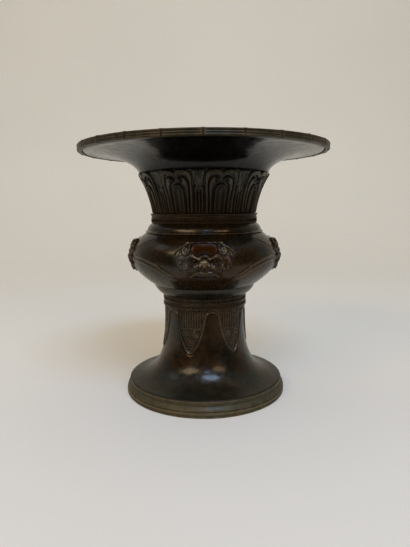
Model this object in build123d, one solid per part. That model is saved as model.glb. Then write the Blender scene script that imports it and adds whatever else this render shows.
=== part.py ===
"""Bronze flower vase of gu form, with a wide mouth that lifts out of the neck.

Millimetres, +Z up, origin at the centre of the foot's resting face. The front mask faces -Y.
Sections are given as (radius, height) and turned about Z: a lone point is a corner, three points
are an arc, and four points are a curve with its two handles.
"""

import os
from math import degrees

from build123d import *

# Heights of the sections, from the resting face up
foot_ledge_height = 9.0
column_height = 68.0
collar_height = 10.3
seat_height = 9.4
belly_height = 45.9
shoulder_height = 8.6
neck_ring_height = 8.3
sleeve_height = 35.0
dish_height = 17.7
rim_band_height = 5.3

# Radii, and how far each section stands out from its neighbour
flare_radius = 70.0
foot_band_taper = 1.4
foot_band_step = 0.5
column_radius = 36.4
collar_projection = 1.3
seat_step = 0.3
seat_projection = 8.2
belly_foot_step = 0.2
belly_radius = 66.0
neck_radius = 45.1
neck_ring_projection = 2.3
shoulder_step = 0.5
shoulder_projection = 4.8
belly_mouth_step = 0.8
lip_radius = 58.0
dish_throat_setback = 0.4
dish_throat_height = 0.9
rim_radius = 108.9

# Walls and plates
wall = 3.0
spigot_wall = 2.6
stem_wall = 2.3
dish_wall = 2.6
floor_thickness = 2.5
foot_rim_width = 8.0
foot_band_height = 5.6
foot_lip_wall = 1.1
foot_lip_height = 2.6
shoulder_lip_wall = 2.6
shoulder_lip_height = 3.6
rim_band_width = 7.0
rim_band_wall = 4.4
rim_band_drop = 0.5

# Fits: soldered sleeves, the mouth's stem in the neck, castings laid on a curved wall
sleeve_gap = 0.2
stem_gap = 0.4
solder_gap = 0.1

# Spigots
spigot_setback = 1.8
neck_spigot_setback = 1.4
neck_spigot_length = 18.0
stem_length = 28.0

# Handles of the curved outlines
flare_top_straight = 12.0
flare_upper_handle = 34.0
flare_reach_handle = 25.3
flare_rise_handle = 4.0
seat_lower_reach = 4.5
seat_lower_rise = 2.5
seat_upper_drop = 3.4
seat_upper_reach = 1.2
belly_widest_height = 24.3
belly_upper_handle = 8.5
belly_lower_handle = 8.5
belly_mouth_reach = 9.0
belly_mouth_drop = 6.1
belly_foot_reach = 12.0
belly_foot_rise = 8.5
shoulder_lower_rise = 3.6
shoulder_upper_reach = 3.0
shoulder_upper_drop = 1.8
sleeve_lower_reach = 2.0
sleeve_lower_rise = 12.5
sleeve_upper_reach = 7.2
sleeve_upper_drop = 10.5
dish_throat_reach = 2.2
dish_throat_rise = 5.6
dish_edge_reach = 33.0
dish_edge_drop = 2.2
dish_inner_throat_rise = 7.0

# Mouldings
collar_border_height = 1.6
collar_border_relief = 0.4
neck_ring_lip_height = 1.7
neck_ring_lip_relief = 0.7
cane_count = 3
cane_relief = 0.5
tie_count = 24
tie_width = 2.4
tie_relief = 0.4

# Leaves round the neck
leaf_count = 9
leaf_first_angle = 15.5
leaf_relief = 1.2
leaf_foot_width = 19.0
leaf_head_width = 29.0
leaf_head_height = 13.0
leaf_lobe_bulge = 2.6
leaf_notch_depth = 2.2
leaf_top_drop = 0.3

# Blades hanging on the foot
blade_count = 6
blade_first_angle = -20.0
blade_relief = 0.7
blade_width = 26.0
blade_length = 39.0
blade_side_length = 10.0
blade_tip_handle = 11.0
blade_border = 4.0

# Masks on the belly
mask_angles = (0, 90, 180, 270)
mask_width = 44.0
mask_height = 26.0
mask_rise = 2.0
mask_plate = 1.4
mask_plate_corner = 10.0
brow_radius = 6.6
brow_spread = 5.6
brow_rise = 8.6
brow_sink = 5.4
snout_radius = 4.8
snout_rise = 0.6
snout_sink = 2.0
jaw_radius = 4.6
jaw_drop = 7.0
jaw_sink = 3.2
curl_radius = 3.1
curl_relief = 1.8
curl_spread = 14.0
curl_column_pitch = 5.8
curl_row_pitch = 6.4
tenon_radius = 2.5
tenon_stand = 1.0
rove_radius = 5.0
rove_thickness = 1.4

# Levels of the sections
flare_edge_z = foot_ledge_height + wall
column_top_z = flare_edge_z + column_height
collar_top_z = column_top_z + collar_height
seat_top_z = collar_top_z + seat_height
belly_top_z = seat_top_z + belly_height
shoulder_top_z = belly_top_z + shoulder_height
ring_top_z = shoulder_top_z + neck_ring_height
lip_z = ring_top_z + sleeve_height
dish_edge_z = lip_z + dish_height
rim_base_z = dish_edge_z - rim_band_drop
rim_top_z = rim_base_z + rim_band_height
belly_widest_z = seat_top_z + belly_widest_height
floor_z = seat_top_z + wall

# Radii that follow from neighbours
foot_lip_bore = flare_radius + sleeve_gap
foot_lip_radius = foot_lip_bore + foot_lip_wall
foot_radius = foot_lip_radius + foot_band_taper + foot_band_step
spigot_radius = column_radius - spigot_setback
collar_radius = column_radius + collar_projection
seat_base_radius = collar_radius + seat_step
seat_top_radius = seat_base_radius + seat_projection
belly_foot_radius = seat_top_radius + belly_foot_step
belly_floor_radius = belly_foot_radius - solder_gap
neck_spigot_radius = neck_radius - neck_spigot_setback
ring_radius = neck_radius + neck_ring_projection
shoulder_top_radius = ring_radius - shoulder_step
shoulder_base_radius = shoulder_top_radius + shoulder_projection
belly_mouth_radius = shoulder_base_radius + belly_mouth_step
dish_throat_radius = lip_radius - dish_throat_setback
dish_throat_z = lip_z + dish_throat_height
dish_edge_radius = rim_radius - rim_band_wall


def section(*stretches):
    """Closed face in radius and height; straight lines join the given corners and curves."""
    edges = []
    for index, stretch in enumerate(stretches):
        if len(stretch) == 3:
            edges.append(ThreePointArc(*stretch))
        if len(stretch) == 4:
            edges.append(Bezier(*stretch))
        follower = stretches[(index + 1) % len(stretches)]
        if stretch[-1] != follower[0]:
            edges.append(Line(stretch[-1], follower[0]))
    return Plane.XZ * make_face(edges)


def turned(*stretches):
    """Solid of revolution about Z."""
    return revolve(section(*stretches), Axis.Z)


def corner(radius, height):
    return ((radius, height),)


def shifted(curve, outward, upward):
    """The same curve moved in radius and height."""
    return tuple((radius + outward, height + upward) for radius, height in curve)


def facing(shape, angle):
    """A shape made at the front, carried round the axis towards +X by an angle in degrees."""
    return Rot(0, 0, angle) * shape


def front_prism(outline, depth):
    """A flat outline in (x, z) pushed forward from the axis."""
    return extrude(Plane.XZ * outline, depth)


# Outer curves that neighbouring pieces share
flare_curve = (
    (column_radius, column_top_z - flare_top_straight),
    (column_radius, column_top_z - flare_top_straight - flare_upper_handle),
    (flare_radius - flare_reach_handle, flare_edge_z + flare_rise_handle),
    (flare_radius, flare_edge_z),
)
belly_lower_curve = (
    (belly_foot_radius, seat_top_z),
    (belly_foot_radius + belly_foot_reach, seat_top_z + belly_foot_rise),
    (belly_radius, belly_widest_z - belly_lower_handle),
    (belly_radius, belly_widest_z),
)
belly_upper_curve = (
    (belly_radius, belly_widest_z),
    (belly_radius, belly_widest_z + belly_upper_handle),
    (belly_mouth_radius + belly_mouth_reach, belly_top_z - belly_mouth_drop),
    (belly_mouth_radius, belly_top_z),
)
sleeve_curve = (
    (neck_radius, ring_top_z),
    (neck_radius + sleeve_lower_reach, ring_top_z + sleeve_lower_rise),
    (lip_radius - sleeve_upper_reach, lip_z - sleeve_upper_drop),
    (lip_radius, lip_z),
)
dish_curve = (
    (dish_throat_radius, dish_throat_z),
    (dish_throat_radius + dish_throat_reach, dish_throat_z + dish_throat_rise),
    (dish_edge_radius - dish_edge_reach, dish_edge_z - dish_edge_drop),
    (dish_edge_radius, dish_edge_z),
)


def make_foot_rim():
    """Ring that the vase stands on: a plain band, a sloped band and a lip round the flare's edge."""
    foot_lip_z = foot_ledge_height + foot_lip_height
    inner_radius = foot_radius - foot_rim_width
    return turned(
        corner(inner_radius, 0),
        corner(foot_radius, 0),
        corner(foot_radius, foot_band_height),
        corner(foot_radius - foot_band_step, foot_band_height),
        corner(foot_lip_radius, foot_lip_z),
        corner(foot_lip_bore, foot_lip_z),
        corner(foot_lip_bore, foot_ledge_height),
        corner(inner_radius, foot_ledge_height),
    )


def blade_outline():
    """Pendant leaf: straight sides that draw in to a point."""
    half = blade_width / 2
    top = column_top_z - blade_border / 2
    side_end = column_top_z - blade_side_length
    tip = column_top_z - blade_length
    handle = side_end - blade_tip_handle
    return make_face([
        Line((-half, top), (half, top)),
        Line((half, top), (half, side_end)),
        Bezier((half, side_end), (half, handle), (0, tip)),
        Bezier((0, tip), (-half, handle), (-half, side_end)),
        Line((-half, side_end), (-half, top)),
    ])


def make_foot_column():
    """Trumpet foot with its spigot, and the hanging blades cast on it."""
    straight_top = column_top_z - flare_top_straight
    inner_curve = shifted(flare_curve, -wall, -wall)
    bore = spigot_radius - spigot_wall
    shell = turned(
        corner(flare_radius, foot_ledge_height),
        flare_curve[::-1],
        corner(column_radius, column_top_z),
        corner(spigot_radius, column_top_z),
        corner(spigot_radius, floor_z),
        corner(bore, floor_z),
        corner(bore, straight_top),
        inner_curve,
    )
    skin = turned(
        corner(column_radius - wall / 2, column_top_z),
        corner(column_radius + blade_relief, column_top_z),
        shifted(flare_curve, blade_relief, 0),
        shifted(flare_curve, -wall / 2, 0)[::-1],
    )
    border = turned(
        corner(column_radius - wall / 2, column_top_z - blade_border),
        corner(column_radius + blade_relief, column_top_z - blade_border),
        corner(column_radius + blade_relief, column_top_z),
        corner(column_radius - wall / 2, column_top_z),
    )
    blade = front_prism(blade_outline(), foot_radius) & skin
    pitch = 360 / blade_count
    blades = [facing(blade, blade_first_angle + pitch * index) for index in range(blade_count)]
    return shell.fuse(border, *blades)


def make_foot_collar():
    """Ring round the foot's spigot with a raised border at each edge."""
    bore = spigot_radius + sleeve_gap
    border = collar_border_height
    raised = collar_radius + collar_border_relief
    return turned(
        corner(bore, column_top_z),
        corner(raised, column_top_z),
        corner(raised, column_top_z + border),
        corner(collar_radius, column_top_z + border),
        corner(collar_radius, collar_top_z - border),
        corner(raised, collar_top_z - border),
        corner(raised, collar_top_z),
        corner(bore, collar_top_z),
    )


def make_seat_ring():
    """Swelling moulding that carries the belly."""
    bore = spigot_radius + sleeve_gap
    return turned(
        corner(bore, collar_top_z),
        (
            (seat_base_radius, collar_top_z),
            (seat_base_radius + seat_lower_reach, collar_top_z + seat_lower_rise),
            (seat_top_radius - seat_upper_reach, seat_top_z - seat_upper_drop),
            (seat_top_radius, seat_top_z),
        ),
        corner(bore, seat_top_z),
    )


def tenon_at_front(radius, inner_reach, outer_reach):
    """Round bar that points at the viewer, at the belly's widest level."""
    length = outer_reach - inner_reach
    middle = (inner_reach + outer_reach) / 2
    return Pos(0, -middle, belly_widest_z) * Rot(90, 0, 0) * Cylinder(radius, length)


def belly_inside(gap):
    """Outline of the belly's inner wall from the floor up, drawn in by a gap."""
    lower = (
        (belly_floor_radius, floor_z),
        (belly_foot_radius + belly_foot_reach - wall, seat_top_z + belly_foot_rise + wall),
        (belly_radius - wall, belly_widest_z - belly_lower_handle),
        (belly_radius - wall, belly_widest_z),
    )
    upper = shifted(belly_upper_curve, -wall, 0)
    return shifted(lower, -gap, 0), shifted(upper, -gap, 0)


def make_belly_bowl():
    """Round belly, open at the top, with the spigot's hole below and a hole for each tenon."""
    inner_lower, inner_upper = belly_inside(0)
    bowl = turned(
        corner(spigot_radius + sleeve_gap, seat_top_z),
        belly_lower_curve,
        belly_upper_curve,
        inner_upper[::-1],
        inner_lower[::-1],
        corner(spigot_radius + sleeve_gap, floor_z),
    )
    hole = tenon_at_front(tenon_radius + sleeve_gap, belly_radius / 2, belly_radius + wall)
    return bowl - [facing(hole, angle) for angle in mask_angles]


def make_belly_floor():
    """Plate over the spigot's hole, which makes the belly hold water."""
    plate_radius = belly_floor_radius - sleeve_gap
    return Pos(0, 0, floor_z) * Cylinder(
        plate_radius, floor_thickness, align=(Align.CENTER, Align.CENTER, Align.MIN)
    )


def belly_grown(growth):
    """Solid of the belly's outer shape, grown outwards."""
    return turned(
        corner(0, seat_top_z),
        shifted(belly_lower_curve, growth, 0),
        shifted(belly_upper_curve, growth, 0),
        corner(0, belly_top_z),
    )


def make_mask():
    """Lion-dog mask for the front: plate, brow, snout, jaw and side curls, with a tenon."""
    bed = belly_grown(solder_gap)
    middle_z = belly_widest_z + mask_rise
    outline = Pos(0, middle_z) * RectangleRounded(mask_width, mask_height, mask_plate_corner)
    plate = front_prism(outline, belly_radius * 2) & (belly_grown(mask_plate) - bed)
    plate_reach = belly_radius + mask_plate
    lumps = [
        Pos(0, snout_sink - plate_reach, belly_widest_z + snout_rise) * Sphere(snout_radius),
        Pos(0, jaw_sink - plate_reach, belly_widest_z - jaw_drop) * Sphere(jaw_radius),
    ]
    for side in (-1, 1):
        brow = Pos(side * brow_spread, brow_sink - plate_reach, belly_widest_z + brow_rise)
        lumps.append(brow * Sphere(brow_radius))
        for column, rows in enumerate(((-1, 0, 1), (-0.5, 0.5))):
            angle = degrees((curl_spread + column * curl_column_pitch) / belly_radius)
            for row in rows:
                place = Pos(0, -plate_reach, middle_z + row * curl_row_pitch)
                curl = place * Rot(90, 0, 0) * Cylinder(curl_radius, curl_relief * 2)
                lumps.append(facing(curl, side * angle))
    inner_reach = belly_radius - wall - solder_gap - rove_thickness - tenon_stand
    tenon = tenon_at_front(tenon_radius, inner_reach, plate_reach)
    return plate.fuse(*[lump - bed for lump in lumps]) + tenon


def make_mask_roves():
    """Washers dished to the inner wall, over which the tenons are hammered."""
    inner_lower, inner_upper = belly_inside(solder_gap)
    cavity = turned(corner(0, floor_z), inner_lower, inner_upper, corner(0, belly_top_z))
    inner_face = belly_radius - wall - solder_gap - rove_thickness
    blank = tenon_at_front(rove_radius, inner_face, belly_radius)
    hole = tenon_at_front(tenon_radius + sleeve_gap, belly_radius / 2, belly_radius + wall)
    rove = (blank - hole) & cavity
    return Compound([facing(rove, angle) for angle in mask_angles])


def make_shoulder_ring():
    """Cushion moulding on the belly's mouth, with a lip that hangs inside it."""
    bore = neck_spigot_radius + sleeve_gap
    lip_outside = belly_mouth_radius - wall - sleeve_gap
    lip_inside = lip_outside - shoulder_lip_wall
    return turned(
        corner(bore, belly_top_z),
        corner(lip_inside, belly_top_z),
        corner(lip_inside, belly_top_z - shoulder_lip_height),
        corner(lip_outside, belly_top_z - shoulder_lip_height),
        corner(lip_outside, belly_top_z),
        (
            (shoulder_base_radius, belly_top_z),
            (shoulder_base_radius, belly_top_z + shoulder_lower_rise),
            (shoulder_top_radius + shoulder_upper_reach, shoulder_top_z - shoulder_upper_drop),
            (shoulder_top_radius, shoulder_top_z),
        ),
        corner(bore, shoulder_top_z),
    )


def make_neck_ring():
    """Ring under the leaves, with a lip along its top edge."""
    bore = neck_spigot_radius + sleeve_gap
    lip = ring_radius + neck_ring_lip_relief
    lip_base_z = ring_top_z - neck_ring_lip_height
    return turned(
        corner(bore, shoulder_top_z),
        corner(ring_radius, shoulder_top_z),
        corner(ring_radius, lip_base_z),
        corner(lip, lip_base_z),
        corner(lip, ring_top_z),
        corner(bore, ring_top_z),
    )


def leaf_outline():
    """Upright leaf with a two-lobed scrolled head, notched in the middle."""
    foot = leaf_foot_width / 2
    head = leaf_head_width / 2
    top = lip_z - leaf_top_drop
    cheek = (head - leaf_lobe_bulge, top - leaf_head_height)
    lobe_side = (head, cheek[1] + leaf_lobe_bulge)
    lobe_top = (head / 2, top)
    notch = (0, top - leaf_notch_depth)
    right = [
        Line((0, ring_top_z), (foot, ring_top_z)),
        Line((foot, ring_top_z), cheek),
        Bezier(cheek, lobe_side, (head, top), lobe_top),
        Bezier(lobe_top, (head / 4, top), notch),
        Line(notch, (0, ring_top_z)),
    ]
    half = make_face(right)
    return half + mirror(half, Plane.YZ)


def make_neck_sleeve():
    """Flared neck with the leaves cast on it, a flat lip above and a spigot below."""
    bore = neck_spigot_radius - spigot_wall
    shell = turned(
        corner(bore, ring_top_z - neck_spigot_length),
        corner(neck_spigot_radius, ring_top_z - neck_spigot_length),
        corner(neck_spigot_radius, ring_top_z),
        sleeve_curve,
        shifted(sleeve_curve, -wall, 0)[::-1],
        corner(bore, ring_top_z),
    )
    skin = turned(shifted(sleeve_curve, leaf_relief, 0), shifted(sleeve_curve, -wall / 2, 0)[::-1])
    leaf = front_prism(leaf_outline(), lip_radius * 2) & skin
    pitch = 360 / leaf_count
    leaves = [facing(leaf, leaf_first_angle + pitch * index) for index in range(leaf_count)]
    return shell.fuse(*leaves)


def make_mouth_dish():
    """Wide shallow dish whose stem hangs in the neck and whose shoulder rests on the lip."""
    stem_outside = shifted(sleeve_curve, -wall - stem_gap, 0)
    stem_inside = shifted(stem_outside, -stem_wall, 0)
    throat = stem_inside[-1]
    slope = sleeve_upper_reach / sleeve_upper_drop
    inner_curve = (
        throat,
        (throat[0] + slope * dish_inner_throat_rise, throat[1] + dish_inner_throat_rise),
        (dish_curve[2][0] - dish_wall / 2, dish_curve[2][1] + dish_wall),
        (dish_edge_radius, dish_edge_z + dish_wall),
    )
    dish = turned(
        stem_outside,
        corner(dish_throat_radius, lip_z),
        dish_curve,
        inner_curve[::-1],
        stem_inside[::-1],
    )
    stem_end_z = lip_z - stem_length
    below = Cylinder(lip_radius, stem_end_z, align=(Align.CENTER, Align.CENTER, Align.MIN))
    return dish - below


def make_rim_band():
    """Edge ring like stacked canes, wrapped with ties at even steps."""
    inner_edge = rim_radius - rim_band_width
    bore = dish_edge_radius + sleeve_gap
    bed_z = dish_edge_z + dish_wall
    cane = rim_band_height / cane_count
    valley = rim_radius - cane_relief
    canes = []
    for index in range(cane_count):
        low = rim_base_z + cane * index
        canes.append(((valley, low), (rim_radius, low + cane / 2), (valley, low + cane)))
    ring = turned(
        corner(bore, rim_base_z),
        *canes,
        corner(inner_edge, rim_top_z),
        corner(inner_edge, bed_z),
        corner(bore, bed_z),
    )
    wrap = section(
        corner(bore + rim_band_wall / 2, rim_base_z),
        corner(rim_radius + tie_relief, rim_base_z),
        corner(rim_radius + tie_relief, rim_top_z),
        corner(bore + rim_band_wall / 2, rim_top_z),
    )
    tie_angle = degrees(tie_width / rim_radius)
    tie = facing(revolve(wrap, Axis.Z, tie_angle), -tie_angle / 2)
    pitch = 360 / tie_count
    return ring.fuse(*[facing(tie, pitch * index) for index in range(tie_count)])


def main():
    os.makedirs("parts", exist_ok=True)
    mask = make_mask()
    pieces = {
        "foot_rim": make_foot_rim(),
        "foot_column": make_foot_column(),
        "foot_collar": make_foot_collar(),
        "seat_ring": make_seat_ring(),
        "belly_bowl": make_belly_bowl(),
        "belly_floor": make_belly_floor(),
        "mask_front": facing(mask, 0),
        "mask_right": facing(mask, 90),
        "mask_back": facing(mask, 180),
        "mask_left": facing(mask, 270),
        "mask_roves": make_mask_roves(),
        "shoulder_ring": make_shoulder_ring(),
        "neck_ring": make_neck_ring(),
        "neck_sleeve": make_neck_sleeve(),
        "mouth_dish": make_mouth_dish(),
        "rim_band": make_rim_band(),
    }
    for name, shape in pieces.items():
        export_step(shape, f"parts/{name}.step")


main()
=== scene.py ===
"""Bronze flower vase of gu form with a loose mouth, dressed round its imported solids."""

from math import radians, tau

import bpy
import numpy as np
from bpy.props import FloatProperty, FloatVectorProperty, IntProperty, PointerProperty
from mathutils import Euler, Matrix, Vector


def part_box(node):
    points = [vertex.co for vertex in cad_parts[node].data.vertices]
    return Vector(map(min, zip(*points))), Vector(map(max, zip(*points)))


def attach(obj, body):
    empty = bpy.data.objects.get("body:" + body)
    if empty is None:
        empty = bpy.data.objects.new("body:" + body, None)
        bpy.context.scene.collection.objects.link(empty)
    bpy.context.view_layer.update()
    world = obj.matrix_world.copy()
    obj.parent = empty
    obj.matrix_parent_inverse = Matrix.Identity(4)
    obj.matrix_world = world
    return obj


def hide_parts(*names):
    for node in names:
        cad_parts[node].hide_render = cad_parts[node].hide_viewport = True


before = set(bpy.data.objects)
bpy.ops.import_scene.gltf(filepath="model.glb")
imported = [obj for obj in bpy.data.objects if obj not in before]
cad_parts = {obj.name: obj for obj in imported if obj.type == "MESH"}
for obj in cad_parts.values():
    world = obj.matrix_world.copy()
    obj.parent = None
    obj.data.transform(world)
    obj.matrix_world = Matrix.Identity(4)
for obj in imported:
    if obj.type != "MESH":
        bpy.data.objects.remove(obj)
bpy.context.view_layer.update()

bl_info = {
    "name": "Bronze Flower Vase",
    "version": (1, 0, 0),
    "blender": (4, 5, 0),
    "location": "View3D > Sidebar > Vase",
    "description": "Dresses the packed bronze vase with carved pieces, patina and a photo stage",
    "category": "Object",
}

MM = 0.001

# The photo's camera, in pixels of its frame, mm and degrees
FRAME_HEIGHT = 547
FOCAL_LENGTH = 460
CAMERA_PLACE = (0.396, -420.5, 168.0)
CAMERA_PITCH = 8.233
CAMERA_ROLL = -0.487

# Soft lamps as (name, place in m, width and height in m, power in W, colour)
LAMPS = (
    ("overhead_softbox", (0.0, 0.4, 2.6), (2.6, 2.6), 7.5, "#fff3e2"),
    ("front_window", (0.29, -0.95, 1.56), (0.95, 0.52), 15.5, "#a8ccff"),
    ("front_transom", (0.08, -1.3, 1.15), (0.3, 0.14), 1.2, "#a8ccff"),
    ("left_lamp", (-0.93, -1.12, 1.13), (1.2, 0.42), 7.8, "#ffe0bc"),
    ("right_lamp", (0.85, -1.2, 0.97), (0.8, 0.35), 2.8, "#ffe0bc"),
    ("left_window", (-1.6, 0.0, 1.6), (0.7, 0.7), 1.2, "#d0e2ff"),
)
LAMP_TARGET = Vector((0, 0, 0.1))


def linear(code):
    """Linear colour of an sRGB hex value."""
    parts = [int(code[start:start + 2], 16) / 255 for start in (1, 3, 5)]
    return [part / 12.92 if part <= 0.04045 else ((part + 0.055) / 1.055) ** 2.4 for part in parts]


def levels(name):
    """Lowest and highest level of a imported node, in mm."""
    low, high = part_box(name)
    return low.z / MM, high.z / MM


# Levels of the sections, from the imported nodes, in mm
LEDGE = levels("foot_column")[0]
FLARE_EDGE = LEDGE + 4.4
COLUMN_TOP, COLLAR_TOP = levels("foot_collar")
SEAT_TOP = levels("seat_ring")[1]
FLOOR_LEVEL = levels("belly_floor")[0]
BELLY_TOP = levels("belly_bowl")[1]
BELLY_WIDEST = SEAT_TOP + 24.3
SHOULDER_TOP, RING_TOP = levels("neck_ring")
LIP = levels("neck_sleeve")[1]
RIM_BASE, RIM_TOP = levels("rim_band")
DISH_EDGE = RIM_BASE + 0.5

# Radii of the turned walls, in mm, on which the carving is laid out flat
FOOT_RADIUS = 69.6
COLUMN_RADIUS = 37.2
COLLAR_RADIUS = 37.7
BELLY_RADIUS = 66
RING_RADIUS = 47.3
RIM_RADIUS = 108.9

# Thickness of the cast walls, in mm
WALL = 3

# Radii of the spigots, of the bores of the rings round them, and of the spigots' hollows, in mm
FOOT_SPIGOT, FOOT_BORE, FOOT_HOLLOW = 34.6, 34.9, 32.0
NECK_SPIGOT, NECK_BORE, NECK_HOLLOW = 43.7, 43.9, 41.1

# Angles of one blade and of one leaf, in degrees from the front to the right
BLADE_ANGLE = -20.0
LEAF_ANGLE = 15.5

# How far within its curve a wall still counts as outer skin, in mm
SKIN = 1.2

# Curves of the turned sections as (radius, height), the middle two being handles, in mm
FLARE = ((FOOT_RADIUS, FLARE_EDGE), (44.7, FLARE_EDGE + 2.8),
         (36.4, COLUMN_TOP - 46), (36.4, COLUMN_TOP - 12))
SEAT = ((38.0, COLLAR_TOP), (42.5, COLLAR_TOP + 2.5), (45.0, SEAT_TOP - 3.4), (46.2, SEAT_TOP))
BELLY_LOWER = ((46.4, SEAT_TOP), (58.4, SEAT_TOP + 8.5),
               (BELLY_RADIUS, BELLY_WIDEST - 8.5), (BELLY_RADIUS, BELLY_WIDEST))
BELLY_UPPER = ((BELLY_RADIUS, BELLY_WIDEST), (BELLY_RADIUS, BELLY_WIDEST + 8.5),
               (61.5, BELLY_TOP - 6.1), (52.5, BELLY_TOP))
SHOULDER = ((51.7, BELLY_TOP), (51.7, BELLY_TOP + 3.6),
            (49.9, SHOULDER_TOP - 1.8), (46.9, SHOULDER_TOP))
NECK = ((45.1, RING_TOP), (47.1, RING_TOP + 12.5), (50.8, LIP - 10.5), (58.0, LIP))
DISH_UNDER = ((57.6, LIP + 0.9), (59.8, LIP + 6.5), (71.5, DISH_EDGE - 2.2), (104.5, DISH_EDGE))
DISH_INSIDE = ((52.3, LIP), (57.1, LIP + 7), (70.2, DISH_EDGE + 0.4), (104.5, DISH_EDGE + 2.6))


class VaseSizes(bpy.types.PropertyGroup):
    """Sizes of the carving."""
    leaf_count: IntProperty(
        name="Leaves", description="Leaves round the neck", default=9)
    leaf_relief: FloatProperty(
        name="Leaf relief", description="How far the leaves stand out from the neck",
        default=1.5 * MM, unit="LENGTH")
    blade_count: IntProperty(
        name="Blades", description="Blades hanging round the foot", default=6)
    blade_relief: FloatProperty(
        name="Blade relief", description="How far the hanging blades stand out from the foot",
        default=0.9 * MM, unit="LENGTH")
    fret_relief: FloatProperty(
        name="Fret relief", description="Height of the fret lines on the collar and the neck ring",
        default=0.35 * MM, unit="LENGTH")
    ribbon_relief: FloatProperty(
        name="Ribbon relief", description="Height of the ribbons on the belly",
        default=0.8 * MM, unit="LENGTH")
    mask_relief: FloatProperty(
        name="Mask relief", description="Height of a mask's nose over the belly",
        default=4.4 * MM, unit="LENGTH")
    tie_count: IntProperty(
        name="Rim ties", description="Ties round the cane rim", default=24)


class VaseFinish(bpy.types.PropertyGroup):
    """Colours of the patina and the stage."""
    brown: FloatVectorProperty(
        name="Brown patina", description="Main colour of the body",
        subtype="COLOR", default=linear("#39260e"))
    olive: FloatVectorProperty(
        name="Olive bloom", description="Greyer patches of the patina",
        subtype="COLOR", default=linear("#252318"))
    slate: FloatVectorProperty(
        name="Slate patina", description="Grey of the carved neck",
        subtype="COLOR", default=linear("#3b382e"))
    black: FloatVectorProperty(
        name="Black patina", description="Colour of the mouth and of the hollows",
        subtype="COLOR", default=linear("#0d0c0a"))
    red: FloatVectorProperty(
        name="Red patina", description="Colour of the masks' foreheads",
        subtype="COLOR", default=linear("#331802"))
    grey: FloatVectorProperty(
        name="Grey-green bloom", description="Dry bloom on the foot ring and the rim",
        subtype="COLOR", default=linear("#6e664a"))
    moss: FloatVectorProperty(
        name="Green-black patina", description="Dark dry patina on the spread of the foot",
        subtype="COLOR", default=linear("#303228"))
    rubbed: FloatVectorProperty(
        name="Rubbed bronze", description="Bare metal on worn edges",
        subtype="COLOR", default=linear("#8f7a58"))
    paper: FloatVectorProperty(
        name="Backdrop", description="Paper that the vase stands on",
        subtype="COLOR", default=linear("#e8e1d1"))


def add_node(tree, kind, links=None, output=None, **settings):
    """Add a shader node with its settings, and its inputs set to a value or joined to a socket.

    It gives the output that is named, or else the first one in use.
    """
    node = tree.nodes.new(kind)
    for name, value in settings.items():
        setattr(node, name, value)
    for name, value in (links or {}).items():
        if isinstance(value, bpy.types.NodeSocket):
            tree.links.new(value, node.inputs[name])
        else:
            node.inputs[name].default_value = value
    if output:
        return node.outputs[output]
    return next(socket for socket in node.outputs if socket.enabled)


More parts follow.
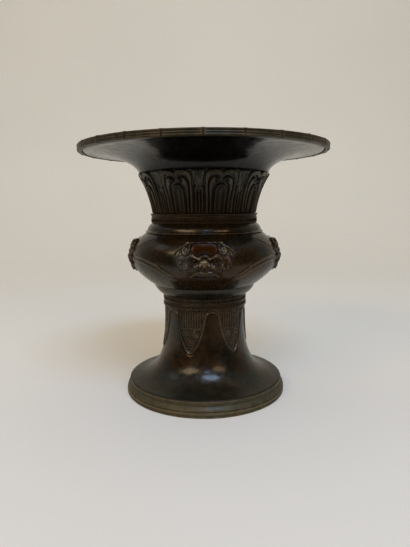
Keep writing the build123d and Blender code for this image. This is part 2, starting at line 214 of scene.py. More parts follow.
def bronze(name, base, bloom, hollow, rubbed, tint, roughness, rub):
    """Cast bronze under a chemical patina and wax.

    It shows a dark metal with cloudy brown and olive patches, soft broad reflections, black left
    in the hollows, and warm bare metal where hands have rubbed the edges. The patches are about
    25 mm across, the mottle 6 mm and the waves of the hand-scraped wall 9 mm. The patina is an oxide
    skin, so only half of the shine is metal. The relief attribute says how high the carving stands,
    and on the masks it also carries painted shade that darkens the mouth, nostrils and eye sockets.
    The tint attribute says where a second patina was laid on, which is drier and has less wax.
    """
    if name in bpy.data.materials:
        return bpy.data.materials[name]
    material = bpy.data.materials.new(name)
    material.use_nodes = True
    tree = material.node_tree
    shader = tree.nodes["Principled BSDF"]
    place = add_node(tree, "ShaderNodeTexCoord", output="Object")
    relief = add_node(tree, "ShaderNodeAttribute", output="Fac", attribute_name="relief")
    # W picks which of the noise's patterns the patches follow
    clouds = add_node(tree, "ShaderNodeTexNoise", {
        "Vector": place, "W": 4.1, "Scale": 1 / (25 * MM), "Detail": 3, "Roughness": 0.6},
        noise_dimensions="4D")
    mottle = add_node(tree, "ShaderNodeTexNoise", {
        "Vector": place, "Scale": 1 / (6 * MM), "Detail": 2, "Roughness": 0.55})
    patch = add_node(tree, "ShaderNodeMapRange", {"Value": clouds, "From Min": 0.4, "From Max": 0.6})
    ground = add_node(tree, "ShaderNodeMix", {
        "Factor": patch, "A": (*base, 1), "B": (*bloom, 1)}, data_type="RGBA")
    laid = add_node(tree, "ShaderNodeAttribute", output="Fac", attribute_name="tint")
    skin = add_node(tree, "ShaderNodeMix", {
        "Factor": laid, "A": ground, "B": (*tint, 1)}, data_type="RGBA")
    shade = add_node(tree, "ShaderNodeMapRange", {
        "Value": mottle, "From Min": 0.3, "From Max": 0.7, "To Min": 0.75, "To Max": 1.2})
    mottled = add_node(tree, "ShaderNodeVectorMath", {0: skin, "Scale": shade}, operation="SCALE")
    sunk = add_node(tree, "ShaderNodeMapRange", {"Value": relief, "From Min": 0.45, "From Max": 0.05})
    darkened = add_node(tree, "ShaderNodeMix", {
        "Factor": sunk, "A": mottled, "B": (*hollow, 1)}, data_type="RGBA")
    uneven = add_node(tree, "ShaderNodeMath", {0: mottle, 1: 0.5, 2: relief}, operation="MULTIPLY_ADD")
    worn = add_node(tree, "ShaderNodeMapRange", {
        "Value": uneven, "From Min": 0.95, "From Max": 1.3, "To Max": rub})
    colour = add_node(tree, "ShaderNodeMix", {
        "Factor": worn, "A": darkened, "B": (*rubbed, 1)}, data_type="RGBA")
    gloss = add_node(tree, "ShaderNodeMapRange", {
        "Value": mottle, "From Min": 0.3, "From Max": 0.7,
        "To Min": roughness - 0.05, "To Max": roughness + 0.07})
    dulled = add_node(tree, "ShaderNodeMath", {0: laid, 1: 0.25, 2: gloss}, operation="MULTIPLY_ADD")
    wax = add_node(tree, "ShaderNodeMath", {0: laid, 1: -0.18, 2: 0.18}, operation="MULTIPLY_ADD")
    shine = add_node(tree, "ShaderNodeMath", {0: laid, 1: -0.48, 2: 0.5}, operation="MULTIPLY_ADD")
    waves = add_node(tree, "ShaderNodeTexNoise", {"Vector": place, "Scale": 1 / (9 * MM), "Detail": 1})
    bump = add_node(tree, "ShaderNodeBump", {"Height": waves, "Strength": 0.7, "Distance": 0.5 * MM})
    tree.links.new(colour, shader.inputs["Base Color"])
    tree.links.new(dulled, shader.inputs["Roughness"])
    tree.links.new(wax, shader.inputs["Coat Weight"])
    tree.links.new(shine, shader.inputs["Specular IOR Level"])
    tree.links.new(bump, shader.inputs["Normal"])
    shader.inputs["Metallic"].default_value = 0.5
    shader.inputs["Coat Roughness"].default_value = 0.1
    shader.inputs["Specular Tint"].default_value = (*linear("#d7d7d4"), 1)
    return material


def body_bronze(finish):
    """Brown patina of the body, turning a dry green-black on the spread of the foot."""
    return bronze("brown_patinated_bronze", finish.brown, finish.olive, finish.black,
                  finish.rubbed, finish.moss, roughness=0.26, rub=0.3)


def neck_bronze(finish):
    """Greyer patina of the carved neck, brown towards its foot and black in the hollows."""
    return bronze("dark_carved_bronze", finish.slate, finish.olive, finish.black,
                  finish.rubbed, finish.brown, roughness=0.3, rub=0.1)


def mouth_bronze(finish):
    """Blacker, smoother patina of the mouth."""
    return bronze("black_waxed_bronze", finish.black, finish.black, finish.black,
                  finish.rubbed, finish.grey, roughness=0.2, rub=0.1)


def rim_bronze(finish):
    """Olive bronze of the edge rings, dry on the foot and rubbed by handling."""
    return bronze("olive_rubbed_bronze", finish.olive, finish.brown, finish.black,
                  finish.rubbed, finish.grey, roughness=0.44, rub=0.55)


def mask_bronze(finish):
    """Grey-brown of the masks with red foreheads, rubbed on their high spots."""
    return bronze("red_rubbed_bronze", finish.brown, finish.slate, finish.black,
                  finish.rubbed, finish.red, roughness=0.3, rub=0.8)


def inner_bronze(finish):
    """Dull metal inside the belly."""
    return bronze("dull_inner_bronze", finish.olive, finish.brown, finish.olive,
                  finish.rubbed, finish.grey, roughness=0.55, rub=0.0)


def bend(curve, count):
    """Points along a curve with two handles."""
    start, first, second, end = (np.array(point, float) for point in curve)
    share = np.linspace(0, 1, count)[:, None]
    rest = 1 - share
    points = rest ** 3 * start + 3 * rest ** 2 * share * first
    points = points + 3 * rest * share ** 2 * second + share ** 3 * end
    return [tuple(point) for point in points]


def straight(start, end, count):
    """Points along a straight run."""
    return [tuple(point) for point in np.linspace(start, end, count)]


def flowing(points, count=10):
    """Smooth line through the given points, with count steps between each two."""
    knots = np.array([points[0], *points, points[-1]], float)
    share = np.linspace(0, 1, count, endpoint=False)[:, None]
    runs = []
    for before, start, end, after in zip(knots, knots[1:], knots[2:], knots[3:]):
        runs.append(start + 0.5 * share * (
            end - before + share * (2 * before - 5 * start + 4 * end - after
                                    + share * (3 * (start - end) + after - before))))
    return np.vstack([*runs, knots[-1:]])


def pick(piece):
    """Select one piece alone and make it the active one."""
    bpy.ops.object.select_all(action="DESELECT")
    piece.select_set(True)
    bpy.context.view_layer.objects.active = piece


def point_outwards():
    """Turn all faces of the active piece outwards."""
    bpy.ops.object.mode_set(mode="EDIT")
    bpy.ops.mesh.select_all(action="SELECT")
    bpy.ops.mesh.normals_make_consistent(inside=False)
    bpy.ops.object.mode_set(mode="OBJECT")


def lathe(name, section, steps):
    """Turned piece: its section is drawn point by point, closed, and swept round the axis."""
    weld = 0.002 * MM
    bpy.ops.object.select_all(action="DESELECT")
    bpy.ops.mesh.primitive_plane_add(size=MM)
    piece = bpy.context.object
    piece.name = piece.data.name = name
    bpy.ops.object.mode_set(mode="EDIT")
    bpy.ops.mesh.merge(type="CENTER")
    path = [Vector((0, -radius, height)) * MM for radius, height in [*section, section[0]]]
    bpy.ops.transform.translate(value=path[0])
    for last, point in zip(path, path[1:]):
        bpy.ops.mesh.extrude_region_move(TRANSFORM_OT_translate={"value": point - last})
    bpy.ops.mesh.select_all(action="SELECT")
    bpy.ops.mesh.remove_doubles(threshold=weld)
    bpy.ops.object.mode_set(mode="OBJECT")
    turning = piece.modifiers.new("turning", "SCREW")
    turning.steps = turning.render_steps = steps
    turning.use_merge_vertices = True
    turning.merge_threshold = weld
    bpy.ops.object.modifier_apply(modifier="turning")
    point_outwards()
    return piece


def vertex_table(piece, field):
    """One row of three numbers for each vertex of a piece."""
    table = np.empty(len(piece.data.vertices) * 3, np.float32)
    piece.data.vertices.foreach_get(field, table)
    return table.reshape(-1, 3).astype(float)


def keep_layer(piece, name, values):
    """Store a number from 0 to 1 for each vertex, or one for them all, for the patina."""
    layer = piece.data.attributes.new(name, "FLOAT", "POINT")
    each = np.broadcast_to(np.clip(values, 0, 1), len(piece.data.vertices))
    layer.data.foreach_set("value", each.astype(np.float32))


def carve(piece, relief, curve, scale, lowest=-np.inf, highest=np.inf):
    """Move the outer skin along its normals by a relief in mm.

    relief takes angles in degrees (0 in front, + to the right), heights and radii in mm. The outer
    skin lies on a curve of (radius, height) points, from the lowest level to the highest, and scale
    is the relief's full height.
    """
    place = vertex_table(piece, "co") / MM
    normal = vertex_table(piece, "normal")
    level = place[:, 2]
    radius = np.hypot(place[:, 0], place[:, 1])
    angle = np.degrees(np.arctan2(place[:, 0], -place[:, 1]))
    curve_radius, curve_level = np.array(curve, float).T
    outer = radius > np.interp(level, curve_level, curve_radius) - SKIN
    outer &= (level >= lowest) & (level <= highest)
    rise = np.zeros(len(place))
    rise[outer] = relief(angle[outer], level[outer], radius[outer])
    piece.data.vertices.foreach_set("co", ((place + normal * rise[:, None]) * MM).ravel())
    piece.data.update()
    keep_layer(piece, "relief", 0.5 + 0.5 * rise / scale)


def edge_wear(piece, edges, reach):
    """Mark the rings at the given (radius, height) as rubbed edges."""
    place = vertex_table(piece, "co") / MM
    radius = np.hypot(place[:, 0], place[:, 1])
    wear = np.full(len(place), 0.5)
    for edge_radius, edge_height in edges:
        away = np.hypot(radius - edge_radius, place[:, 2] - edge_height)
        wear = np.maximum(wear, 0.5 + 0.5 * np.exp(-(away / reach) ** 2))
    keep_layer(piece, "relief", wear)


def finish_piece(piece, bronze_kind, body, slot, *nodes):
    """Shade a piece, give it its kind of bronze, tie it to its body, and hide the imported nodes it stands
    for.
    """
    piece.data.materials.clear()
    piece.data.materials.append(bronze_kind(bpy.context.scene.vase_finish))
    pick(piece)
    bpy.ops.object.shade_smooth_by_angle(angle=radians(75))
    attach(piece, body)
    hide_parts(*nodes)


def fold(angle, count, first):
    """Angle from the middle of the nearest of count like motifs."""
    pitch = 360 / count
    return (angle - first + pitch / 2) % pitch - pitch / 2


def to_line(across, height, line):
    """Least distance from each point to a drawn line, in mm."""
    least = np.full(across.shape, np.inf)
    for (ax, az), (bx, bz) in zip(line, line[1:]):
        run, lift = bx - ax, bz - az
        share = ((across - ax) * run + (height - az) * lift) / max(run * run + lift * lift, 1e-9)
        share = np.clip(share, 0, 1)
        least = np.minimum(least, np.hypot(across - ax - share * run, height - az - share * lift))
    return least


def inside(across, height, outline):
    """Whether each point lies within a closed outline."""
    within = np.zeros(across.shape, bool)
    for (ax, az), (bx, bz) in zip(outline, np.roll(outline, -1, axis=0)):
        if az != bz:
            crossing = (az > height) != (bz > height)
            within ^= crossing & (across < ax + (height - az) * (bx - ax) / (bz - az))
    return within


def depth_inside(across, height, outline):
    """Distance from a closed outline, positive within it."""
    closed = np.vstack([outline, outline[:1]])
    away = to_line(across, height, closed)
    return np.where(inside(across, height, outline), away, -away)


def step_up(value, low, high):
    """Smooth step from 0 at low to 1 at high."""
    share = np.clip((value - low) / (high - low), 0, 1)
    return share * share * (3 - 2 * share)


def rib(distance, half_width):
    """Rounded rib, 1 on its line and 0 at its edges."""
    return np.clip(1 - (distance / half_width) ** 2, 0, 1)


def ripple(turns):
    """Wave from 0 to 1, which is 1 at each whole turn."""
    return 0.5 + 0.5 * np.cos(turns * tau)


def spiral(across, height, pitch, turn):
    """Distance from the middle of a curl, and its wound line as a wave from 0 to 1."""
    away = np.hypot(across, height)
    return away, ripple(away / pitch + turn * np.arctan2(height, across) / tau)


def closed_at(line, across):
    """Outline between a line and the upright at a distance across."""
    return np.vstack([[(across, line[0][1])], line, [(across, line[-1][1])]])


def mirrored(half):
    """Whole outline from its right half, whose ends lie on the middle."""
    return np.vstack([half, half[::-1][1:-1] * (-1, 1)])


def unrolled(line, curve):
    """A line of (degrees, height) laid flat in mm on a turned curve."""
    profile = np.array(bend(curve, 60))
    line = np.array(line, float)
    radius = np.interp(line[:, 1], profile[:, 1], profile[:, 0])
    return np.column_stack([np.radians(line[:, 0]) * radius, line[:, 1]])


def fret(across, height, low, high, cell):
    """Squared spirals in a row, as fine raised lines between two levels."""
    middle = (low + high) / 2
    half = (high - low) / 2
    local = (across + cell / 2) % cell - cell / 2
    ring = np.maximum(np.abs(local) / (cell / 2), np.abs(height - middle) / half)
    lines = np.cos(ring * 1.5 * tau)
    band = step_up(half - np.abs(height - middle), 0, 0.3)
    return lines * band


class VASE_OT_foot_rim(bpy.types.Operator):
    """Turn the ring that the vase stands on, with its grooves and its lip round the flare"""
    bl_idname = "vase.foot_rim"
    bl_label = "Foot rim"

    def execute(self, context):
        outside, inside_edge = 73.2, 65.2
        section = [
            # Face that it stands on
            (inside_edge, 0.4), (inside_edge + 0.4, 0.0), (72.5, 0.0), (73.0, 0.3),
            # Lower band with a fine groove
            (outside, 0.8), (outside, 2.0), (72.9, 2.35), (72.9, 2.65), (outside, 3.0), (outside, 4.2),
            # Deep groove, and the ridge over it
            (73.05, 4.55), (72.65, 4.7), (72.2, 4.85), (72.1, 5.15), (72.5, 5.4), (72.75, 5.75),
            # Slope up to the lip
            (72.65, 6.2), (72.3, 6.7), (71.75, 7.4), (71.2, 8.0), (70.75, 8.45), (70.45, 8.7),
            # Notch, and the lip round the edge of the flare
            (70.2, 8.85), (70.1, 9.15), (70.25, 9.5), (70.4, 9.9), (70.4, 12.3), (70.3, 12.6),
            (70.1, 12.75), (69.9, 12.65), (69.8, 12.5),
            # Ledge that the flare stands on
            (69.8, LEDGE), (inside_edge + 0.4, LEDGE), (inside_edge, LEDGE - 0.4),
        ]
        piece = lathe("foot_rim_turned", section, steps=256)
        edges = [(outside, 4.2), (72.75, 5.8), (70.2, 12.7), (outside, 0.8), (outside, 3.0)]
        edge_wear(piece, edges, reach=0.55)
        keep_layer(piece, "tint", 0.5)
        finish_piece(piece, rim_bronze, "vessel", "rim_bronze", "foot_rim")
        return {"FINISHED"}


class VASE_OT_foot_column(bpy.types.Operator):
    """Turn the trumpet foot and carve the hanging blades on it"""
    bl_idname = "vase.foot_column"
    bl_label = "Foot column"

    def execute(self, context):
        sizes = context.scene.vase_sizes
        relief = sizes.blade_relief / MM
        top = COLUMN_TOP
        carved_from = top - 41
        flare = bend(FLARE, 400)
        plain = [point for point in flare if point[1] < carved_from]
        carved = np.array([point for point in flare if point[1] >= carved_from])
        heights = np.linspace(carved_from, top - 0.2, 96)
        radii = np.interp(heights, carved[:, 1], carved[:, 0])
        inner = bend([(radius - WALL, height - WALL) for radius, height in FLARE], 14)
        section = [
            (FOOT_RADIUS - 0.3, LEDGE), (FOOT_RADIUS, LEDGE + 0.3), (FOOT_RADIUS, FLARE_EDGE - 0.5),
            (FOOT_RADIUS - 0.2, FLARE_EDGE - 0.1), *plain[6::11], *zip(radii, heights), (36.2, top),
            (FOOT_SPIGOT, top), (FOOT_SPIGOT, FLOOR_LEVEL), (FOOT_HOLLOW, FLOOR_LEVEL),
            (FOOT_HOLLOW, top - 12), *inner[::-1][1:],
        ]
        piece = lathe("foot_column_carved", section, steps=640)

        # Half a blade, whose sides meet its neighbours' in round arches under the collar
        half, tip = 13.4, top - 38.7
        gap = np.radians(180 / sizes.blade_count) * COLUMN_RADIUS - half
        arch_level = top - 2.2 - gap
        side = bend(((half, arch_level), (12.4, top - 17), (6.6, tip + 1.8), (0.0, tip)), 24)
        blade = np.array([(-half, top + 3), (half, top + 3), *side, (-half, tip)])
        break_level = top - 16
        comb_pitch = 2.3
        cell_width, cell_height = 3.2, 4.6
        curl_across, curl_level, curl_pitch = 4.3, top - 20, 1.5

        def blades(angle, height, radius):
            across = np.radians(np.abs(fold(angle, sizes.blade_count, BLADE_ANGLE))) * COLUMN_RADIUS
            arch = np.hypot(half + gap - across, height - arch_level) - gap
            deep = np.where(height > arch_level, arch, depth_inside(across, height, blade))
            # Raised outline between two grooves, with a finer line inside it
            rise = 0.4 * step_up(deep, -0.4, 0.4) + 0.7 * rib(deep - 0.7, 0.7)
            rise = rise - 0.3 * rib(deep - 1.7, 0.6) - 0.3 * rib(deep + 0.7, 0.7)
            rise = rise + 0.15 * rib(deep - 2.4, 0.5)
            # Upright comb over a cross line, and woven cells under it
            field = step_up(deep, 2.7, 3.2)
            upper = step_up(height, break_level - 0.4, break_level + 0.4)
            weave = np.minimum(np.abs((across / cell_width + height / cell_height) % 1 - 0.5),
                               np.abs((across / cell_width - height / cell_height) % 1 - 0.5))
            rise = rise + field * upper * (0.65 * ripple(across / comb_pitch) - 0.35)
            rise = rise + field * (1 - upper) * (0.25 - 0.6 * step_up(weave, 0.03, 0.2))
            rise = rise + 0.4 * field * rib(height - break_level, 0.6)
            # Curl on each side, under the cross line
            away, winding = spiral(across - curl_across, height - curl_level, curl_pitch, -1)
            on_curl = step_up(away, 3.2, 2.6)
            rise = rise * (1 - on_curl) + (0.3 + 0.6 * winding) * on_curl
            return relief * rise * (height > carved_from)

        carve(piece, blades, bend(FLARE, 80), scale=relief * 0.85, highest=top)
        level = vertex_table(piece, "co")[:, 2] / MM
        keep_layer(piece, "tint", 0.45 * step_up(level, LEDGE + 17, LEDGE + 5))
        finish_piece(piece, body_bronze, "vessel", "body_bronze", "foot_column")
        return {"FINISHED"}


class VASE_OT_foot_collar(bpy.types.Operator):
    """Turn the collar above the foot and cut its bands of fret"""
    bl_idname = "vase.foot_collar"
    bl_label = "Foot collar"

    def execute(self, context):
        relief = context.scene.vase_sizes.fret_relief / MM
        low, high = COLUMN_TOP, COLLAR_TOP
        section = [
            (FOOT_BORE, low), (37.6, low), *straight((37.9, low + 0.2), (37.9, low + 1.4), 5),
            *straight((37.6, low + 1.6), (37.6, low + 4.4), 12), (37.2, low + 4.6), (37.2, low + 4.9),
            *straight((37.6, low + 5.1), (37.7, high - 0.3), 20), (37.5, high), (FOOT_BORE, high),
        ]
        piece = lathe("foot_collar_carved", section, steps=720)

        def bands(angle, height, radius):
            across = np.radians(angle) * COLLAR_RADIUS
            lower = fret(across, height, low + 1.5, low + 4.5, cell=2.96)
            upper = fret(across, height, low + 5.2, high - 0.4, cell=3.38)
            bead = 0.8 * rib(height - low - 0.8, 0.6)
            return relief * (lower + upper + bead)

        carve(piece, bands, [(COLLAR_RADIUS, low)], scale=relief * 1.1)
        keep_layer(piece, "tint", 0.15)
        finish_piece(piece, body_bronze, "vessel", "body_bronze", "foot_collar")
        return {"FINISHED"}


class VASE_OT_seat_ring(bpy.types.Operator):
    """Turn the swelling ring under the belly"""
    bl_idname = "vase.seat_ring"
    bl_label = "Seat ring"

    def execute(self, context):
        section = [(FOOT_BORE, COLLAR_TOP), (COLLAR_RADIUS, COLLAR_TOP), *bend(SEAT, 24)[1:-1],
                   (46.1, SEAT_TOP - 0.1), (45.9, SEAT_TOP), (FOOT_BORE, SEAT_TOP)]
        piece = lathe("seat_ring_turned", section, steps=256)
        edge_wear(piece, [(46.0, SEAT_TOP - 0.4)], reach=0.8)
        finish_piece(piece, neck_bronze, "vessel", "body_bronze", "seat_ring")
        return {"FINISHED"}


def belly_curve(count):
    """Outer curve of the belly, with count points below its widest level and as many above."""
    return [*bend(BELLY_LOWER, count), *bend(BELLY_UPPER, count)[1:]]


class VASE_OT_belly(bpy.types.Operator):
    """Turn the belly and raise the ribbons that hang between the side masks"""
    bl_idname = "vase.belly"
    bl_label = "Belly"

    def execute(self, context):
        relief = context.scene.vase_sizes.ribbon_relief / MM
        inner_radius = BELLY_RADIUS - WALL
        inner_lower = bend(((46.1, FLOOR_LEVEL), (55.2, SEAT_TOP + 11.5),
                            (inner_radius, BELLY_WIDEST - 8.5), (inner_radius, BELLY_WIDEST)), 14)
        inner_upper = [(radius - WALL, height) for radius, height in bend(BELLY_UPPER, 10)]
        section = [(FOOT_BORE, SEAT_TOP), *bend(BELLY_LOWER, 60), *bend(BELLY_UPPER, 44)[1:],
                   *inner_upper[::-1], *inner_lower[::-1][1:], (FOOT_BORE, FLOOR_LEVEL)]
        piece = lathe("belly_carved", section, steps=600)

        # Lines on a quarter of the belly, as degrees from the front and mm over its widest level
        ribbon_line = flowing([(70, 2.4), (56, 1.2), (47, -0.2), (39, -2.8), (32, -7.0), (25.5, -11.6),
                               (20, -14.4)])
        vine_line = flowing([(68, 9.0), (60, 12.2), (54, 15.8), (47, 18.6), (40, 19.4)])
        mm_per_degree = 1.1
        for line in (ribbon_line, vine_line):
            line[:, 0] *= mm_per_degree
        lattice_pitch = 1.6

        def ribbons(angle, height, radius):
            turned = np.abs((angle + 90) % 180 - 90)
            across = turned * mm_per_degree
            level = height - BELLY_WIDEST
            away = to_line(across, level, ribbon_line)
            edges = rib(away - 1.8, 0.7)
            rising = np.cos((across + height) / lattice_pitch * tau)
            falling = np.cos((across - height) / lattice_pitch * tau)
            lattice = 0.3 + 0.2 * rising * falling
            ribbon = (edges + step_up(away, 1.7, 1.2) * lattice) * step_up(turned, 19.5, 27)
            vine = 0.6 * rib(to_line(across, level, vine_line), 0.55) * step_up(turned, 40, 46)
            return relief * (ribbon + vine)

        carve(piece, ribbons, belly_curve(40), scale=relief * 0.9)
        finish_piece(piece, body_bronze, "vessel", "body_bronze", "belly_bowl")
        return {"FINISHED"}


def mask_relief(across, height, full):
    """Relief of a lion-dog mask in mm over the belly, its rub with painted shade in the mouth, nostrils
    and eye sockets, and where it is red.

    across and height are places in mm from the mask's middle, and full is the height of its nose.
    """
    side = np.abs(across)

    def dome(x, z, half_width, half_height, rise, power=0.5):
        spread = ((side - x) / half_width) ** 2 + ((height - z) / half_height) ** 2
        return rise * full * np.clip(1 - spread, 0, 1) ** power

    def near(points, half_width):
        return rib(to_line(side, height, flowing(points)), half_width)

    def curl(x, z, size, rise, turn):
        away, winding = spiral(side - x, height - z, size * 0.56, turn)
        return rib(away, size) ** 0.5 * rise * full * (0.68 + 0.32 * winding)

    head = np.array([(0, 13.4), (9, 13.2), (16.5, 11.2), (21.5, 7.5), (23.4, 1.5), (22.8, -5.5),
                     (18.5, -10.2), (12.6, -13.6), (6.0, -14.9), (0, -15.1)], float)
    deep = depth_inside(across, height, mirrored(head))
    brow_half = flowing([(0, 11.6), (5.0, 11.9), (8.8, 11.0), (10.5, 8.0), (9.7, 5.0), (7.3, 2.9),
                         (5.3, 2.8), (3.3, 4.4), (0, 5.2)], 6)
    brow = depth_inside(across, height, mirrored(brow_half))
    forehead = step_up(brow, -0.5, 0.6)
    brow_line = near([(3.2, 1.2), (5.2, 1.7), (7.6, 2.6), (9.8, 4.2)], 1.0)
    top_line = near([(0, 13.2), (9, 13.1), (15, 11.9), (21, 8.8), (24.5, 5.0)], 0.8)
    mouth = near([(0, -11.9), (4.5, -11.7), (8.0, -12.2)], 1.9)
    forms = [
        # Edge of the head, forehead and brows
        -0.9 + 1.6 * step_up(deep, -0.6, 2.6),
        forehead * full * (0.46 + 0.1 * step_up(brow, 0.3, 3.5) + 0.045 * (height - 3)),
        0.72 * full * brow_line,
        # Nose, its wings, and the cheeks
        dome(0.0, -2.0, 4.0, 3.3, 1.0, 0.4),
        dome(3.3, -3.2, 1.6, 1.6, 0.85),
        dome(6.6, -4.6, 3.5, 2.7, 0.6),
        # Lower lip and eyes
        0.4 * full * near([(0, -14.4), (5.0, -14.2), (9.0, -13.2)], 0.9),
        dome(7.8, 0.2, 1.5, 1.2, 0.5),
        # Curls of the mane
        curl(15.1, 7.3, 4.2, 0.7, 1),
        curl(19.5, 0.6, 3.7, 0.6, 1),
        curl(14.6, -3.8, 3.6, 0.64, -1),
        curl(19.0, -6.2, 3.0, 0.52, -1),
        curl(13.2, -10.0, 2.7, 0.5, -1),
        # Ears, upper lip, eyelids, bridge of the nose, and the line along the top
        0.6 * full * near([(11.6, 7.6), (11.8, 10.4), (13.4, 12.6), (15.2, 12.2)], 1.3),
        0.6 * full * near([(0, -9.0), (3.6, -8.5), (7.6, -9.2), (11.6, -11.9)], 1.1),
        0.54 * full * near([(6.9, 1.9), (9.6, 3.0), (12.6, 1.6), (14.0, -0.8)], 0.95),
        0.62 * full * near([(0, 3.2), (2.4, 2.6), (4.4, 0.6)], 0.8),
        0.36 * full * top_line,
    ]
    rise = np.max(forms, axis=0)
    socket = rib(np.abs(np.hypot(side - 7.8, height - 0.2) - 1.9), 0.7)
    nostril = rib(np.hypot(side - 1.7, (height + 3.5) * 1.2), 0.95)
    whiskers = ripple((height - 0.55 * side) / 1.5)
    cuts = [
        0.7 * socket * step_up(height, 2.0, 1.0),
        1.3 * nostril,
        1.3 * mouth,
        # Cleft under the nose, the hollow over the forehead, and the whiskers
        0.6 * near([(0, -5.2), (0, -8.2)], 0.6),
        0.9 * rib(brow + 0.9, 0.8) * step_up(height, 4.5, 6.5),
        0.45 * whiskers * step_up(np.hypot(side - 7.4, height + 4.4), 2.8, 2.0),
    ]
    rise = rise - np.sum(cuts, axis=0)
    # Hands rub the high parts most, and the rim of the nose, the brows and the top line more still
    nose_rim = rib(np.hypot(side / 1.2, height + 2.2) - 2.4, 1.2) * step_up(height, -3.6, -2.4)
    wear = 0.42 + 0.34 * rise / full + 0.22 * step_up(rise / full, 0.34, 0.6)
    wear = wear + 0.5 * nose_rim + 0.4 * brow_line + 0.3 * top_line
    wear = np.where(forehead > 0.9, np.minimum(wear, 0.5), wear)
    # The mouth, nostrils and eye sockets are pulled down towards the black of the hollows, as painted
    # shade
    wear = wear - 0.25 * nostril - 0.1 * socket - 0.2 * mouth
    return rise, wear, step_up(brow, 0.0, 2.8)


class VASE_OT_masks(bpy.types.Operator):
    """Model one lion-dog mask on a bent grid, thicken it and set four round the belly"""
    bl_idname = "vase.masks"
    bl_label = "Masks"

    def execute(self, context):
        full = context.scene.vase_sizes.mask_relief / MM
        curve = np.array(belly_curve(60))
        middle = BELLY_WIDEST + 2.4
        wide, tall, drop = 51.0, 31.2, 0.8
        bpy.ops.object.select_all(action="DESELECT")
        bpy.ops.mesh.primitive_grid_add(x_subdivisions=190, y_subdivisions=114, size=1)
        model = bpy.context.object
        grid = vertex_table(model, "co")
        across, height = grid[:, 0] * wide, grid[:, 1] * tall - drop
        rise, wear, red = mask_relief(across, height, full)
        level = height + middle
        wall = np.interp(level, curve[:, 1], curve[:, 0])
        slope = np.interp(level, curve[:, 1], np.gradient(curve[:, 0], curve[:, 1]))
        lean = np.hypot(1, slope)
        turn = across / BELLY_RADIUS
        radius = wall + rise / lean
        level = level - rise * slope / lean
        place = np.column_stack([radius * np.sin(turn), -radius * np.cos(turn), level])
        model.data.vertices.foreach_set("co", (place * MM).ravel())
        model.data.update()
        # The relief layer carries the rub and the painted shade of the mouth, nostrils and eye sockets
        keep_layer(model, "relief", wear)
        keep_layer(model, "tint", red)
        point_outwards()
        backing = model.modifiers.new("backing", "SOLIDIFY")
        backing.thickness = 1.0 * MM
        backing.offset = -1
        bpy.ops.object.modifier_apply(modifier="backing")
        for quarter, name in enumerate(("mask_front", "mask_right", "mask_back", "mask_left")):
            pick(model)
            bpy.ops.object.duplicate()
            piece = bpy.context.object
            piece.name = piece.data.name = name + "_carved"
            piece.rotation_euler = (0, 0, quarter * tau / 4)
            bpy.ops.object.transform_apply(location=False, rotation=True, scale=False)
            finish_piece(piece, mask_bronze, "vessel", "mask_bronze", name)
        bpy.data.objects.remove(model)
        return {"FINISHED"}


class VASE_OT_shoulder_ring(bpy.types.Operator):
    """Turn the cushion ring on the belly's mouth"""
    bl_idname = "vase.shoulder_ring"
    bl_label = "Shoulder ring"

    def execute(self, context):
        section = [
            # Lip that hangs in the belly's mouth
            (NECK_BORE, BELLY_TOP), (46.7, BELLY_TOP), (46.7, BELLY_TOP - 3.6), (49.3, BELLY_TOP - 3.6),
            # Bead on the belly, and the cushion over it
            (49.3, BELLY_TOP), (52.3, BELLY_TOP), (52.8, BELLY_TOP + 0.3), (53.0, BELLY_TOP + 0.8),
            (52.8, BELLY_TOP + 1.3), (52.3, BELLY_TOP + 1.65), (51.7, BELLY_TOP + 1.8),
            *bend(SHOULDER, 26)[6:], (NECK_BORE, SHOULDER_TOP),
        ]
        piece = lathe("shoulder_ring_turned", section, steps=256)
        edge_wear(piece, [(53.0, BELLY_TOP + 0.8)], reach=0.7)
        finish_piece(piece, body_bronze, "vessel", "body_bronze", "shoulder_ring")
        return {"FINISHED"}


class VASE_OT_neck_ring(bpy.types.Operator):
    """Turn the ring under the leaves and cut its fret"""
    bl_idname = "vase.neck_ring"
    bl_label = "Neck ring"

    def execute(self, context):
        relief = context.scene.vase_sizes.fret_relief / MM
        low, high = SHOULDER_TOP, RING_TOP
        section = [
            # Band of fret
            (NECK_BORE, low), (47.1, low),
            *straight((RING_RADIUS, low + 0.2), (RING_RADIUS, low + 4.6), 18),
            # Bead, groove and the larger bead under the leaves
            (47.5, low + 4.8), (47.6, low + 5.1), (47.5, low + 5.4), (47.2, low + 5.7),
            (47.1, low + 6.3), (47.5, low + 6.6), (48.0, low + 6.9), (48.1, low + 7.5),
            (48.0, low + 8.0), (47.6, high), (NECK_BORE, high),
        ]
        piece = lathe("neck_ring_carved", section, steps=768)

        def band(angle, height, radius):
            across = np.radians(angle) * RING_RADIUS
            return relief * fret(across, height, low + 0.3, low + 4.6, cell=3.538)

        carve(piece, band, [(RING_RADIUS, low)], scale=relief * 1.1)
        keep_layer(piece, "tint", 0.6)
        finish_piece(piece, neck_bronze, "vessel", "body_bronze", "neck_ring")
        return {"FINISHED"}


